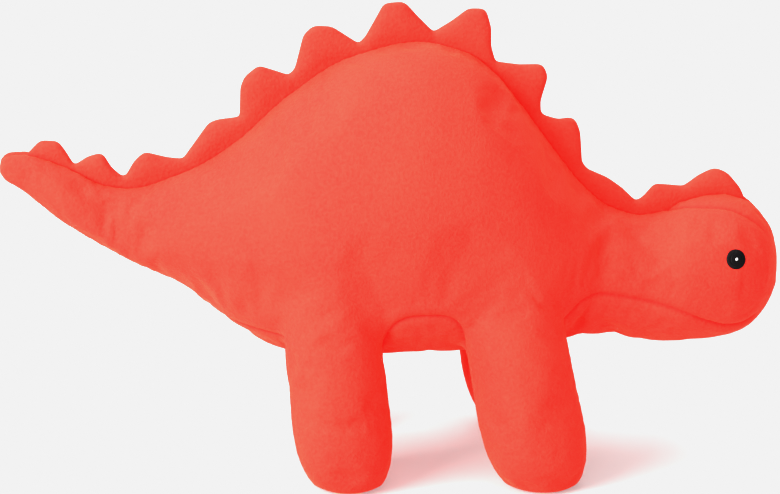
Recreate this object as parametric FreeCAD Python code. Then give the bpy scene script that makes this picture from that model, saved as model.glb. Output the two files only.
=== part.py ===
import FreeCAD, Part
import math
import os

# Stuffed toy stegosaurus: velour panels and gussets over polyester fibre fill.
# Millimetres. +X points to the nose, +Z up, and -Y is the toy's right side.
# The origin is on the surface that the feet rest on, under the middle of the toy's box.

Vec = FreeCAD.Vector

# ---- driving dimensions -------------------------------------------------------------------
CLOTH = 2.0            # thickness of the velour with its pile
GAP = 0.6              # clearance between pieces of two bodies that move against each other
SWING = 15.0           # degrees that a leg, the tail or the head bends either way

TAIL_JOINT_X = -98.0   # root of the tail
TORSO_REAR_X = -92.0
TORSO_FRONT_X = 97.0
NECK_JOINT_X = 103.0   # base of the neck

HIP_Z = 80.0           # height of the leg joints
HIP_Y = 43.0
FOOT_Y = 48.0
HIP_RADIUS = 25.5      # leg radius where it enters the body
HIP_BALL = 22.0        # rounded top of a leg's filling
LEGS = {"front": (64.0, 79.0), "rear": (-30.0, -21.5)}   # X at the hip and at the foot

CREST_THICK = 7.0      # both layers and the thin filling between them
CREST_FILL_THICK = 3.4
CREST_RIM = 3.0        # sewn rim of the crest without filling

EYE_X = 175.0
EYE_Z = 118.0
EYE_RADIUS = 4.9
EYE_RAISE = 1.2        # height of the embroidery over the velour
HIGHLIGHT_RADIUS = 0.9
HIGHLIGHT_RAISE = 0.3

LABEL = (12.0, 1.0, 21.0)   # width, thickness and length of the care label
LABEL_X = -77.0
LABEL_Y = 29.0
LABEL_TOP = 85.0

# Body sections, tail tip to nose: X, top, bottom, half width, height of the widest level
# as a share of the section's height.
STATIONS = [
    (-200.0, 160.5, 155.5, 2.5, 0.50),
    (-197.0, 164.0, 151.5, 5.8, 0.50),
    (-190.0, 165.0, 147.5, 8.2, 0.50),
    (-168.0, 158.5, 129.5, 13.5, 0.50),
    (-147.0, 148.5, 116.5, 15.5, 0.50),
    (-135.0, 147.0, 110.0, 18.5, 0.50),
    (-110.0, 154.5, 98.5, 27.0, 0.50),
    (TAIL_JOINT_X, 160.0, 90.5, 32.5, 0.49),
    (TORSO_REAR_X, 163.5, 86.0, 35.5, 0.48),
    (-79.0, 173.0, 76.5, 42.5, 0.46),
    (-54.0, 196.0, 65.5, 54.0, 0.43),
    (-22.0, 216.0, 63.0, 62.0, 0.40),
    (12.0, 224.0, 65.0, 65.0, 0.40),
    (36.0, 218.5, 66.0, 63.5, 0.40),
    (50.0, 209.0, 66.5, 61.0, 0.41),
    (65.0, 191.5, 67.0, 57.0, 0.42),
    (80.5, 171.0, 69.5, 49.5, 0.44),
    (TORSO_FRONT_X, 150.5, 72.0, 40.5, 0.47),
    (NECK_JOINT_X, 144.5, 72.5, 37.5, 0.49),
    (113.0, 137.5, 71.5, 35.0, 0.50),
    (129.0, 133.0, 69.0, 34.5, 0.50),
    (140.5, 135.0, 68.0, 36.0, 0.50),
    (153.0, 141.0, 68.5, 38.0, 0.50),
    (170.0, 144.0, 70.0, 38.0, 0.50),
    (183.0, 140.5, 76.5, 33.0, 0.50),
    (192.0, 131.5, 85.0, 24.5, 0.50),
    (197.5, 120.5, 95.0, 14.0, 0.50),
    (200.0, 111.0, 103.0, 4.5, 0.50),
]
FULLNESS = 0.93        # below 1, sections are fuller than an ellipse
SECTION_POINTS = 20

# Leg sections, foot to hip: height, half length along X, half width along Y.
LEG_LEVELS = [
    (0.0, 17.0, 15.0),
    (3.0, 21.5, 19.5),
    (11.0, 25.0, 22.8),
    (30.0, 26.5, 24.2),
    (56.0, 26.0, 24.8),
    (HIP_Z, HIP_RADIUS, HIP_RADIUS),
]

# Crest outline corners: X, Z and corner radius. Notches lie between the rounded plates.
TAIL_CREST = [
    (-189.9, 163.0, 0.0), (-182.6, 172.6, 4.0), (-170.6, 171.4, 5.0), (-162.8, 159.3, 2.0),
    (-150.0, 166.6, 6.0), (-138.2, 153.0, 2.0), (-126.5, 167.8, 7.0), (-109.0, 162.6, 0.0),
]
BACK_CREST = [
    (-106.6, 163.0, 0.0), (-93.8, 183.6, 5.0), (-78.9, 184.8, 1.5), (-77.4, 211.8, 8.0),
    (-53.5, 206.6, 2.0), (-44.7, 234.6, 7.0), (-18.5, 223.4, 2.0), (-1.5, 251.0, 7.0),
    (19.7, 229.4, 2.0), (45.1, 246.0, 8.0), (51.6, 214.0, 1.5), (80.7, 212.2, 6.0),
    (76.1, 187.0, 1.5), (96.3, 185.0, 6.0), (98.2, 158.5, 1.0), (101.5, 157.4, 0.0),
]
HEAD_CREST = [
    (104.4, 157.0, 0.0), (115.3, 150.8, 8.0), (127.4, 140.0, 2.0), (136.3, 151.0, 5.0),
    (153.2, 148.6, 2.0), (167.6, 160.6, 8.0), (183.0, 146.0, 4.0), (184.6, 139.0, 0.0),
]
CREST_DEPTH = 12.0     # how far the outline is drawn below the back before it is trimmed

# Seams, drawn from the side as X and Z: cloth below the line belongs to the gusset.
BELLY_SEAM = [(-96.0, 84.0), (-74.0, 75.0), (-56.0, 76.0), (-42.0, 88.0), (-6.0, 94.0),
              (38.0, 94.0), (62.0, 90.0), (101.0, 90.0)]
CHIN_SEAM = [(101.0, 99.5), (128.0, 96.5), (150.0, 90.0), (174.0, 81.5), (188.0, 83.0)]
FOREHEAD_REAR_X = 142.0     # the forehead gusset is a leaf, seen from above
FOREHEAD_WIDE_X = 168.0
FOREHEAD_HALF_WIDTH = 13.0


# ---- shared geometry ----------------------------------------------------------------------
def rounded(value):
    """A cosine or sine pushed outwards, for sections fuller than an ellipse."""
    return math.copysign(abs(value) ** FULLNESS, value)


def section_points(station, inset, first, last, steps):
    """Points of a body section, from one angle to another; 90 degrees is the back."""
    x, top, bottom, half, share = station
    level = bottom + share * (top - bottom)
    points = []
    for i in range(steps + 1):
        angle = math.radians(first + (last - first) * i / steps)
        reach = (top if math.sin(angle) > 0 else 2 * level - bottom) - level - inset
        points.append(Vec(x, (half - inset) * rounded(math.cos(angle)),
                          level + reach * rounded(math.sin(angle))))
    return points


def closed_curve(points):
    curve = Part.BSplineCurve()
    curve.interpolate(Points=points[:-1], PeriodicFlag=True)
    return Part.Wire(curve.toShape())


def body_loft(x_low, x_high, inset):
    """The body between two stations, shrunk all round by the inset."""
    chosen = [s for s in STATIONS if x_low <= s[0] <= x_high]
    wires = []
    for station in chosen:
        own = min(inset, 0.6 * station[3], 0.3 * (station[1] - station[2]))
        wires.append(closed_curve(section_points(station, own, 0, 360, SECTION_POINTS)))
    loft = Part.makeLoft(wires, True, False)
    if inset and x_low < STATIONS[1][0]:
        loft = loft.common(box_between(x_low + inset, x_high, -200, 200, 0, 300))
    if inset and x_high > STATIONS[-2][0]:
        loft = loft.common(box_between(x_low, x_high - inset, -200, 200, 0, 300))
    return loft


def box_between(x0, x1, y0, y1, z0, z1):
    return Part.makeBox(x1 - x0, y1 - y0, z1 - z0, Vec(x0, y0, z0))


def turned_section(x, inset, degrees):
    """A body section turned about the upright line through it, starting from the left side."""
    station = next(s for s in STATIONS if s[0] == x)
    points = section_points(station, inset, 90, -90, SECTION_POINTS // 2)
    points[0].y = 0
    points[-1].y = 0
    curve = Part.BSplineCurve()
    curve.interpolate(Points=points)
    face = Part.Face(Part.Wire([curve.toShape(), Part.makeLine(points[-1], points[0])]))
    return face.revolve(Vec(x, 0, 0), Vec(0, 0, 1), degrees)


def drawn_from_side(corners, y0, y1):
    """A prism across the toy, from an outline of X and Z corners."""
    points = [Vec(x, y0, z) for x, z in corners]
    wire = Part.makePolygon(points + points[:1])
    return Part.Face(wire).extrude(Vec(0, y1 - y0, 0))


def save(shape, name):
    solids = [s for s in shape.Solids if s.Volume > 20.0 or len(shape.Solids) == 1]
    result = solids[0] if len(solids) == 1 else Part.makeCompound(solids)
    result.exportStep("parts/" + name + ".step")
    print(name, len(solids), result.isValid(), round(result.Volume))


# ---- legs ---------------------------------------------------------------------------------
def leg_centre(leg, side, z):
    """Middle of a leg at a height: it leans forward and stands a little outwards."""
    hip_x, foot_x = LEGS[leg]
    share = z / HIP_Z
    return Vec(foot_x + (hip_x - foot_x) * share, side * (FOOT_Y + (HIP_Y - FOOT_Y) * share), z)


def leg_loft(leg, side, inset):
    wires = []
    for z, half_x, half_y in LEG_LEVELS:
        level = max(z, inset)
        middle = leg_centre(leg, side, level)
        points = []
        for i in range(SECTION_POINTS + 1):
            angle = 2 * math.pi * i / SECTION_POINTS
            points.append(middle + Vec((half_x - inset) * math.cos(angle),
                                       (half_y - inset) * math.sin(angle), 0))
        if not (inset and z == LEG_LEVELS[1][0]):
            wires.append(closed_curve(points))
    return Part.makeLoft(wires, True, False)


def hip_socket(leg, side):
    """Room in the torso for a leg's rounded top, flared so that the leg can swing."""
    hip = leg_centre(leg, side, HIP_Z)
    radius = HIP_RADIUS + GAP
    flare = math.radians(SWING + 1.0)
    rim = radius * math.cos(flare)
    rise = radius * math.sin(flare)
    drop = 40.0
    cone = Part.makeCone(rim + (rise + drop) * math.tan(flare), rim, rise + drop,
                         hip - Vec(0, 0, drop), Vec(0, 0, 1))
    return Part.makeSphere(radius, hip).fuse(cone)


def make_leg(leg, side, name):
    outer = leg_loft(leg, side, 0.0)
    core = leg_loft(leg, side, CLOTH)
    save(core.fuse(Part.makeSphere(HIP_BALL, leg_centre(leg, side, HIP_Z))), name + "_fill")
    cloth = outer.cut(core)
    seam_y = side * (HIP_Y + FOOT_Y) / 2
    far_y = side * 120.0
    low, high = sorted([seam_y, far_y])
    save(cloth.common(box_between(-200, 200, low, high, -1, 200)), name + "_outer_panel")
    low, high = sorted([seam_y, 0.0])
    save(cloth.common(box_between(-200, 200, low, high, -1, 200)), name + "_inner_panel")


# ---- crest --------------------------------------------------------------------------------
def crest_wire(corners, y):
    """Outline of a crest strip with its corners rounded, closed below the back."""
    low = [(corners[-1][0], corners[-1][1] - CREST_DEPTH - 20, 0.0)]
    for x, top, bottom, half, share in reversed(STATIONS):
        if corners[0][0] + 4 < x < corners[-1][0] - 4:
            low.append((x, top - CREST_DEPTH, 0.0))
    low.append((corners[0][0], corners[0][1] - CREST_DEPTH, 0.0))
    ring = corners + low
    edges = []
    last = None
    for i, (x, z, radius) in enumerate(ring):
        here = Vec(x, y, z)
        before = Vec(ring[i - 1][0], y, ring[i - 1][1]) - here
        after = Vec(ring[(i + 1) % len(ring)][0], y, ring[(i + 1) % len(ring)][1]) - here
        start = end = here
        if radius:
            half_angle = before.getAngle(after) / 2
            reach = radius / math.tan(half_angle)
            before.normalize()
            after.normalize()
            start = here + before * reach
            end = here + after * reach
            inward = before + after
            inward.normalize()
            middle = here + inward * (radius / math.sin(half_angle) - radius)
            arc = Part.Arc(start, middle, end).toShape()
        if last is not None:
            edges.append(Part.makeLine(last, start))
        else:
            first = start
        if radius:
            edges.append(arc)
        last = end
    edges.append(Part.makeLine(last, first))
    return Part.Wire(edges)


def make_crest(corners, under, name):
    """Two layers and their filling, trimmed to stand on the shapes under them."""
    half = CREST_THICK / 2
    outline = Part.Face(crest_wire(corners, 0.0))
    inner = outline.makeOffset2D(-CREST_RIM)
    fill = inner.extrude(Vec(0, CREST_FILL_THICK, 0))
    fill.translate(Vec(0, -CREST_FILL_THICK / 2, 0))
    right = outline.extrude(Vec(0, -half, 0))
    left = outline.extrude(Vec(0, half, 0))
    for shape in under:
        fill = fill.cut(shape)
        right = right.cut(shape)
        left = left.cut(shape)
    save(fill, name + "_fill")
    save(right.cut(fill), name + "_right_layer")
    save(left.cut(fill), name + "_left_layer")


# ---- torso, tail and head -----------------------------------------------------------------
def make_torso():
    outer = body_loft(TORSO_REAR_X, TORSO_FRONT_X, 0.0)
    core = body_loft(TORSO_REAR_X, TORSO_FRONT_X, CLOTH)
    room = [turned_section(TAIL_JOINT_X, -GAP, 360), turned_section(NECK_JOINT_X, -GAP, 360)]
    for leg in LEGS:
        for side in (-1, 1):
            room.append(hip_socket(leg, side))
    fill = core
    cloth = outer.cut(core)
    for space in room:
        fill = fill.cut(space)
        cloth = cloth.cut(space)
    save(fill, "torso_fill")
    floor = [(BELLY_SEAM[-1][0], 0.0), (BELLY_SEAM[0][0], 0.0)]
    below = drawn_from_side(BELLY_SEAM + floor, -120, 120)
    save(cloth.common(below), "belly_gusset")
    sides = cloth.cut(below)
    save(sides.common(box_between(-200, 200, -120, 0, 0, 300)), "torso_right_panel")
    save(sides.common(box_between(-200, 200, 0, 120, 0, 300)), "torso_left_panel")
    tail = body_loft(STATIONS[0][0], TAIL_JOINT_X, 0.0)
    head = body_loft(NECK_JOINT_X, STATIONS[-1][0], 0.0)
    whole = body_loft(STATIONS[0][0], STATIONS[-1][0], 0.0)
    for shape in (tail, head, whole):
        shape.translate(Vec(0, 0, GAP))
    make_crest(BACK_CREST, [outer, tail, head, whole], "back_crest")
    width, thick, length = LABEL
    label = Part.makeBox(width, thick, length, Vec(LABEL_X, LABEL_Y, LABEL_TOP - length))
    save(label.cut(outer), "care_label")


def make_tail():
    outer = body_loft(STATIONS[0][0], TAIL_JOINT_X, 0.0)
    core = body_loft(STATIONS[0][0], TAIL_JOINT_X, CLOTH)
    ball = turned_section(TAIL_JOINT_X, CLOTH + 0.5, -180)
    save(core.fuse(ball), "tail_fill")
    cloth = outer.cut(core)
    save(cloth.common(box_between(-201, 0, -120, 0, 0, 300)), "tail_right_panel")
    save(cloth.common(box_between(-201, 0, 0, 120, 0, 300)), "tail_left_panel")
    make_crest(TAIL_CREST, [outer], "tail_crest")


def make_head():
    outer = body_loft(NECK_JOINT_X, STATIONS[-1][0], 0.0)
    core = body_loft(NECK_JOINT_X, STATIONS[-1][0], CLOTH)
    ball = turned_section(NECK_JOINT_X, CLOTH + 0.5, 180)
    save(core.fuse(ball), "head_fill")
    cloth = outer.cut(core)
    floor = [(CHIN_SEAM[-1][0], 0.0), (CHIN_SEAM[0][0], 0.0)]
    below = drawn_from_side(CHIN_SEAM + floor, -120, 120)
    save(cloth.common(below), "chin_gusset")
    leaf_edge = [Vec(FOREHEAD_REAR_X, 0, 0), Vec(FOREHEAD_WIDE_X, FOREHEAD_HALF_WIDTH, 0),
                 Vec(STATIONS[-1][0] + 1.0, 5.0, 0)]
    right_edge = [Vec(p.x, -p.y, 0) for p in leaf_edge]
    leaf = Part.Wire([Part.Arc(*leaf_edge).toShape(), Part.makeLine(leaf_edge[2], right_edge[2]),
                      Part.Arc(*reversed(right_edge)).toShape()])
    above = Part.Face(leaf).extrude(Vec(0, 0, 200))
    above.translate(Vec(0, 0, 107.0))
    save(cloth.common(above), "forehead_gusset")
    sides = cloth.cut(below).cut(above)
    make_crest(HEAD_CREST, [outer], "head_crest")
    for side, word, low, high in ((-1, "right", -120, 0), (1, "left", 0, 120)):
        save(sides.common(box_between(0, 201, low, high, 0, 300)), "head_" + word + "_panel")
        make_eye(outer, side, word)


def surface_y(body, x, z):
    """Half width of the body where a line across it meets its side."""
    line = Part.makeLine(Vec(x, 0, z), Vec(x, 120, z))
    return body.common(line).BoundBox.YMax


def make_eye(head, side, word):
    reach = surface_y(head, EYE_X, EYE_Z)
    base = Vec(EYE_X, side * (reach - 6.0), EYE_Z)
    outward = Vec(0, side, 0)
    dome = Part.makeCylinder(EYE_RADIUS, 6.0 + EYE_RAISE, base, outward)
    rim = [e for e in dome.Edges if abs(e.CenterOfMass.y - (base.y + side * (6.0 + EYE_RAISE))) < 0.1]
    dome = dome.makeFillet(EYE_RAISE * 0.9, rim)
    glint = Part.makeCylinder(HIGHLIGHT_RADIUS, 6.0 + EYE_RAISE + HIGHLIGHT_RAISE, base, outward)
    save(dome.cut(head).cut(glint), "eye_" + word)
    save(glint.cut(head), "eye_highlight_" + word)


os.makedirs("parts", exist_ok=True)
make_torso()
make_tail()
make_head()
for leg_name in LEGS:
    make_leg(leg_name, -1, leg_name + "_right_leg")
    make_leg(leg_name, 1, leg_name + "_left_leg")
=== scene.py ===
import math

import bpy
import numpy as np
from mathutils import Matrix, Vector, bvhtree, geometry, kdtree, noise


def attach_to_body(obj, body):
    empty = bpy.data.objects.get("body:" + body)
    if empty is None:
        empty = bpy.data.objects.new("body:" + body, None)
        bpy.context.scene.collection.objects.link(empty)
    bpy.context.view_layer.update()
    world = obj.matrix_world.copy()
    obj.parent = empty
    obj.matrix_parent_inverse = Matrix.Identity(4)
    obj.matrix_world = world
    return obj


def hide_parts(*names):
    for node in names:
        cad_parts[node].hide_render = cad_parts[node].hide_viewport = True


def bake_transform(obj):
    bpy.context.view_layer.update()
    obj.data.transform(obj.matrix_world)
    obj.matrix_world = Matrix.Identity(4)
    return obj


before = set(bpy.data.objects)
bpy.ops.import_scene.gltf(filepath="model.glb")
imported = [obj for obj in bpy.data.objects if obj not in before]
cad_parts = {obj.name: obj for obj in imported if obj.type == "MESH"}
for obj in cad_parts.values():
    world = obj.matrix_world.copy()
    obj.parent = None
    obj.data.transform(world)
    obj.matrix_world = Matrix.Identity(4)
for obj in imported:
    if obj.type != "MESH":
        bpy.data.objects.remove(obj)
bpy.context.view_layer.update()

# Plush stegosaurus. Lengths here are millimetres unless a name says metres; M turns them into metres.
M = 0.001
scene = bpy.context.scene

# ---- the toy's design ---------------------------------------------------------------------
HEAD_START_X, HEAD_END_X = 94.0, 126.0      # the neck bends between these
TAIL_START_X, TAIL_END_X = -80.0, -122.0    # the tail root bends between these
LEG_TILT = math.radians(30.0)               # a leg bends across planes tilted outwards
LEG_START, LEG_END = -42.0, -8.0            # and between these distances along their normal

# Body sections, tail tip to nose: X, top, bottom, half width, height share of the widest level.
STATIONS = np.array([
    (-201.2, 158.0, 155.0, 1.5, 0.50),
    (-200.2, 161.1, 151.9, 4.6, 0.50),
    (-197.2, 163.1, 149.1, 7.0, 0.50),
    (-191.0, 163.5, 146.0, 8.6, 0.50),
    (-168.4, 157.0, 128.0, 13.5, 0.50),
    (-147.0, 147.0, 115.0, 15.5, 0.50),
    (-135.0, 145.5, 108.5, 18.5, 0.50),
    (-110.0, 153.0, 97.0, 27.0, 0.50),
    (-98.0, 158.5, 88.1, 32.5, 0.49),
    (-79.0, 171.5, 74.1, 42.5, 0.46),
    (-54.0, 194.5, 63.1, 54.0, 0.43),
    (-22.0, 214.5, 60.6, 62.0, 0.40),
    (12.0, 222.5, 62.6, 65.0, 0.40),
    (36.0, 217.0, 63.6, 63.5, 0.40),
    (50.0, 207.5, 64.1, 61.0, 0.41),
    (65.0, 190.0, 64.6, 57.0, 0.42),
    (80.5, 169.5, 67.1, 49.5, 0.44),
    (97.0, 149.0, 69.6, 40.5, 0.47),
    (113.0, 136.0, 69.1, 35.0, 0.50),
    (129.0, 131.5, 66.6, 34.5, 0.50),
    (140.5, 133.5, 65.6, 36.0, 0.50),
    (153.1, 139.5, 66.1, 38.0, 0.50),
    (170.9, 142.5, 67.6, 38.0, 0.50),
    (184.5, 139.3, 72.1, 33.5, 0.50),
    (193.9, 131.5, 80.0, 26.0, 0.50),
    (199.6, 121.0, 90.0, 16.0, 0.50),
    (201.5, 114.0, 96.5, 9.0, 0.50),
    (202.2, 107.5, 103.5, 2.0, 0.50),
])
FULLNESS = 0.90             # below 1 squares the sections a little, as firm stuffing does

# Leg sections, foot to thigh: height, half length, half width, distance of the centre from the middle.
LEG_SECTIONS = np.array([
    (0.0, 13.5, 12.5, 49.0),
    (1.2, 17.0, 15.5, 49.0),
    (4.5, 20.0, 18.2, 49.0),
    (10.0, 22.9, 20.8, 48.7),
    (18.0, 25.4, 23.0, 48.2),
    (30.0, 26.7, 24.3, 47.0),
    (56.0, 26.0, 24.8, 45.2),
    (80.0, 26.0, 25.0, 42.5),
    (100.0, 25.0, 23.0, 38.0),
    (120.0, 21.0, 18.0, 34.0),
    (136.0, 11.0, 9.0, 31.0),
])
LEG_LINES = {"front": (77.0, -0.200, 1.02), "rear": (-23.3, -0.106, 0.955)}    # X at the foot, lean, girth
SIDES = {"right": -1.0, "left": 1.0}
LEG_TOP_Z = 96.0                            # leg pieces lie below this
LEG_REAR_X, LEG_FRONT_X = -70.0, 108.0      # and between these
LEG_INNER_Y = 14.0                          # and outside this
FRONT_LEG_X = 20.0                          # a leg further forward is a front leg

# Seam between the side panels and what is under them, as X and Z seen from the side.
UNDER_SEAM = np.array([
    (-89.0, 81.2), (-80.0, 79.5), (-72.0, 78.5), (-58.0, 77.2), (-44.0, 82.2),
    (-6.0, 90.2), (16.0, 93.2), (38.0, 90.2), (70.0, 88.2), (86.0, 87.2), (97.0, 96.2),
    (106.0, 98.2), (121.0, 96.2), (137.0, 92.7), (150.0, 88.2), (162.0, 82.7), (174.0, 79.2),
    (181.0, 79.7), (188.0, 83.2), (194.0, 87.2),
])
# The belly gusset rises in an arch between the legs.
ARCH = np.array([(-6.0, 58.2), (-3.5, 82.2), (1.0, 89.7), (8.0, 92.5), (18.0, 93.4),
                 (26.0, 92.2), (31.0, 88.7), (34.0, 81.2), (35.5, 58.2)])
ARCH_LOW_Z = 70.0           # the arch stops where the legs begin

# Half width of the forehead gusset along X.
FOREHEAD = np.array([(141.0, -2.0), (144.0, 3.0), (150.0, 8.5), (161.0, 14.5), (174.0, 18.0), (186.0, 19.8),
                     (195.0, 18.6), (199.4, 13.5), (201.6, 7.5), (202.6, 3.0)])
FOREHEAD_LOW_Z = 103.5      # the gusset ends at this height on the nose

EYE_X, EYE_Z = 174.5, 117.2
EYE_RADIUS = 5.3
EYE_RAISE = 1.0             # how far the embroidery stands up

# Outline of the crest, tail to head: X, Z and how much the corner is rounded.
CREST = [
    (-190.4, 161.5, 0.0), (-188.1, 162.2, 1.5), (-180.7, 170.1, 4.0), (-171.5, 169.7, 4.0),
    (-167.8, 164.9, 5.0), (-163.2, 157.3, 1.2), (-156.7, 161.7, 6.0), (-148.9, 164.1, 4.0),
    (-144.4, 156.5, 5.0), (-139.3, 151.7, 1.0), (-137.1, 151.9, 1.0), (-132.7, 159.7, 7.0),
    (-127.6, 164.5, 4.0), (-115.9, 161.5, 8.0), (-107.9, 160.7, 2.0), (-94.8, 179.5, 6.0),
    (-90.3, 181.3, 3.0), (-78.9, 182.9, 1.0), (-78.6, 198.5, 6.0), (-76.5, 204.0, 5.0),
    (-69.4, 209.8, 4.0), (-53.9, 204.8, 1.5), (-50.8, 208.4, 3.0), (-46.7, 225.6, 6.0),
    (-41.8, 230.6, 6.0), (-32.2, 230.0, 8.0), (-18.4, 221.3, 1.6), (-15.1, 225.1, 5.0),
    (-6.0, 242.3, 4.5), (4.5, 243.1, 5.0), (11.7, 235.3, 9.0), (19.7, 227.5, 1.5),
    (28.7, 233.2, 8.0), (37.2, 239.8, 5.0), (46.2, 239.8, 4.0), (49.2, 229.8, 8.0),
    (49.4, 220.3, 8.0), (51.8, 212.4, 1.5), (64.2, 210.8, 6.0), (76.4, 211.0, 4.0),
    (79.2, 204.4, 5.0), (75.7, 191.5, 7.0), (76.1, 185.5, 1.5), (78.3, 184.1, 2.0),
    (85.3, 182.1, 4.0), (93.7, 183.5, 5.0), (96.8, 175.5, 6.0), (98.3, 159.5, 2.5),
    (101.2, 155.9, 2.5), (111.8, 151.3, 8.0), (119.4, 146.1, 5.0), (127.3, 138.7, 1.8),
    (131.1, 141.5, 4.0), (136.4, 148.1, 4.0), (151.9, 146.7, 3.0), (159.6, 152.5, 8.0),
    (168.1, 156.9, 8.0), (174.9, 153.7, 6.0), (181.5, 146.1, 7.0), (185.3, 138.1, 0.0),
]
CREST_HALF = 3.8        # half thickness of a plate
CREST_RIM = 5.2         # width of the rounded edge
CREST_SINK = 4.0        # how far the crest reaches below the back
CREST_GRID = 1.7            # spacing of the points inside the outline
CREST_INSETS = (0.12, 0.5, 1.2, 2.2)    # rows of points along the free edge
CREST_ARC_STEPS = 5
# Pinches between plates: start, end and the share of the thickness that they take.
CREST_VALLEYS = [
    ((-107.9, 160.5), (-102.8, 154.5), 0.20), ((-78.7, 182.5), (-72.7, 176.5), 0.22),
    ((-53.7, 204.5), (-48.6, 198.5), 0.18), ((-18.4, 221.7), (-15.4, 215.5), 0.22),
    ((19.7, 228.3), (22.2, 220.5), 0.42), ((51.8, 212.5), (49.3, 206.0), 0.42),
    ((76.3, 185.5), (71.8, 178.5), 0.20), ((127.3, 138.9), (126.7, 132.0), 0.18),
    ((151.4, 146.9), (150.5, 139.5), 0.14),
]

VOXEL = 2.6                 # grid of the sewn shape before it is stuffed
STUFFING_PRESSURE = 4.0
STUFFING_CAP = 2.5          # no point of the skin is pushed out further
STUFFING_FRAMES = 20
PINNED_REACH, FREE_REACH = 1.5, 9.0     # the skin is held this near a seam, and free this far off
MIDDLE_SEAM_REAR_X, MIDDLE_SEAM_FRONT_X = -100.0, 188.0     # past these it also runs below
FAR_FROM_SEAM = 50.0
SEAM_WIDTH = 1.25
SEAM_DEPTH = 1.15           # how far most seams draw the cloth in
BACK_SEAM_DEPTH = 2.6
ARCH_SEAM_DEPTH = 1.35
FOREHEAD_SEAM_DEPTH = 1.0
MOUTH_EXTRA_DEPTH = 1.0     # the chin seam deepens by this where it becomes the mouth
MOUTH_DEEPENS_X = (150, 172)
MOUTH_FADES_X = (183, 192)  # and levels out before the tip of the nose
FOREHEAD_FADES_X = (184, 198)
BACK_SEAM_END_X = 186.0     # the back seam carries the crest, and ends with it
EYE_DENT, EYE_DENT_RADIUS = 0.8, 6.5
SEAM_REACH = 16.0           # puckers fade out before this distance


def smooth_line(knots, at):
    """A curve through the knots with no overshoot between them, for one or more columns."""
    x, y = knots[:, 0], knots[:, 1:]
    step = np.diff(x)[:, None]
    slope = np.diff(y, axis=0) / step
    tangent = np.zeros_like(y)
    same = slope[1:] * slope[:-1] > 0
    total = np.where(same, slope[1:] + slope[:-1], 1)
    tangent[1:-1] = np.where(same, 2 * slope[1:] * slope[:-1] / total, 0)
    tangent[0], tangent[-1] = slope[0], slope[-1]
    at = np.clip(np.asarray(at, float), x[0], x[-1])
    i = np.clip(np.searchsorted(x, at, side="right") - 1, 0, len(x) - 2)
    h = step[i]
    t = ((at - x[i]) / h[:, 0])[:, None]
    a, b = y[i], y[i + 1]
    return ((2 * t**3 - 3 * t**2 + 1) * a + (t**3 - 2 * t**2 + t) * h * tangent[i]
            + (3 * t**2 - 2 * t**3) * b + (t**3 - t**2) * h * tangent[i + 1])


def line_value(knots, at):
    """One height read from a two-column curve."""
    return smooth_line(knots, at)[:, 0]


def spread(values):
    """A sine or cosine made fuller between its ends."""
    return np.sign(values) * np.abs(values) ** FULLNESS


# ---- meshes as arrays ---------------------------------------------------------------------
def rings_mesh(rings):
    """Vertices and faces of a closed tube from rings of points."""
    count = rings.shape[1]
    verts = rings.reshape(-1, 3)
    faces = []
    for i in range(len(rings) - 1):
        for j in range(count):
            k = (j + 1) % count
            faces.append((i * count + j, i * count + k, (i + 1) * count + k, (i + 1) * count + j))
    faces.append(tuple(range(count - 1, -1, -1)))
    faces.append(tuple(range((len(rings) - 1) * count, len(rings) * count)))
    return verts, faces


def body_rings():
    """Sections of the body, closer together at the tail tip and the nose."""
    tail_x, nose_x = STATIONS[0, 0], STATIONS[-1, 0]
    close = 8.0 * (1 - np.cos(np.linspace(0, math.pi / 2, 20)))
    x = np.unique(np.round(np.concatenate([
        np.linspace(tail_x, nose_x, 161), tail_x + close, nose_x - close,
    ]), 3))
    top, bottom, half, share = smooth_line(STATIONS, x).T
    level = bottom + share * (top - bottom)
    angle = np.linspace(0, 2 * math.pi, 96, endpoint=False)
    up = np.sin(angle)
    reach = np.where(up > 0, (top - level)[:, None], (level - bottom)[:, None])
    y = half[:, None] * spread(np.cos(angle))
    z = level[:, None] + reach * spread(up)
    return np.stack([np.broadcast_to(x[:, None], y.shape), y, z], axis=2)


def leg_rings(which, side):
    """Sections of a leg from the foot up into the body."""
    foot_x, lean, girth = LEG_LINES[which]
    z = np.concatenate([[0.0, 0.6, 1.4, 2.6, 4.5], np.arange(7.0, 137.0, 3.0)])
    half_x, half_y, out = smooth_line(LEG_SECTIONS, z).T
    angle = np.linspace(0, 2 * math.pi, 64, endpoint=False)
    x = (foot_x + lean * z)[:, None] + girth * half_x[:, None] * np.cos(angle)
    y = side * out[:, None] + half_y[:, None] * np.sin(angle)
    return np.stack([x, y, np.broadcast_to(z[:, None], y.shape)], axis=2)


def make_object(name, verts, faces):
    """A Blender mesh object from millimetre points."""
    mesh = bpy.data.meshes.new(name)
    mesh.from_pydata((np.asarray(verts) * M).tolist(), [], [tuple(int(i) for i in f) for f in faces])
    mesh.update()
    obj = bpy.data.objects.new(name, mesh)
    scene.collection.objects.link(obj)
    return obj


def read_mesh(obj):
    """Millimetre points and quads or triangles of an object with its modifiers applied."""
    graph = bpy.context.evaluated_depsgraph_get()
    mesh = bpy.data.meshes.new_from_object(obj.evaluated_get(graph))
    verts = np.empty(len(mesh.vertices) * 3)
    mesh.vertices.foreach_get("co", verts)
    faces = [tuple(p.vertices) for p in mesh.polygons]
    bpy.data.meshes.remove(mesh)
    return verts.reshape(-1, 3) / M, faces


def through_modifier(name, verts, faces, kind, **settings):
    """The mesh after one modifier, as arrays."""
    obj = make_object(name, verts, faces)
    modifier = obj.modifiers.new(name, kind)
    for key, value in settings.items():
        setattr(modifier, key, value)
    result = read_mesh(obj)
    bpy.data.objects.remove(obj)
    return result


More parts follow.
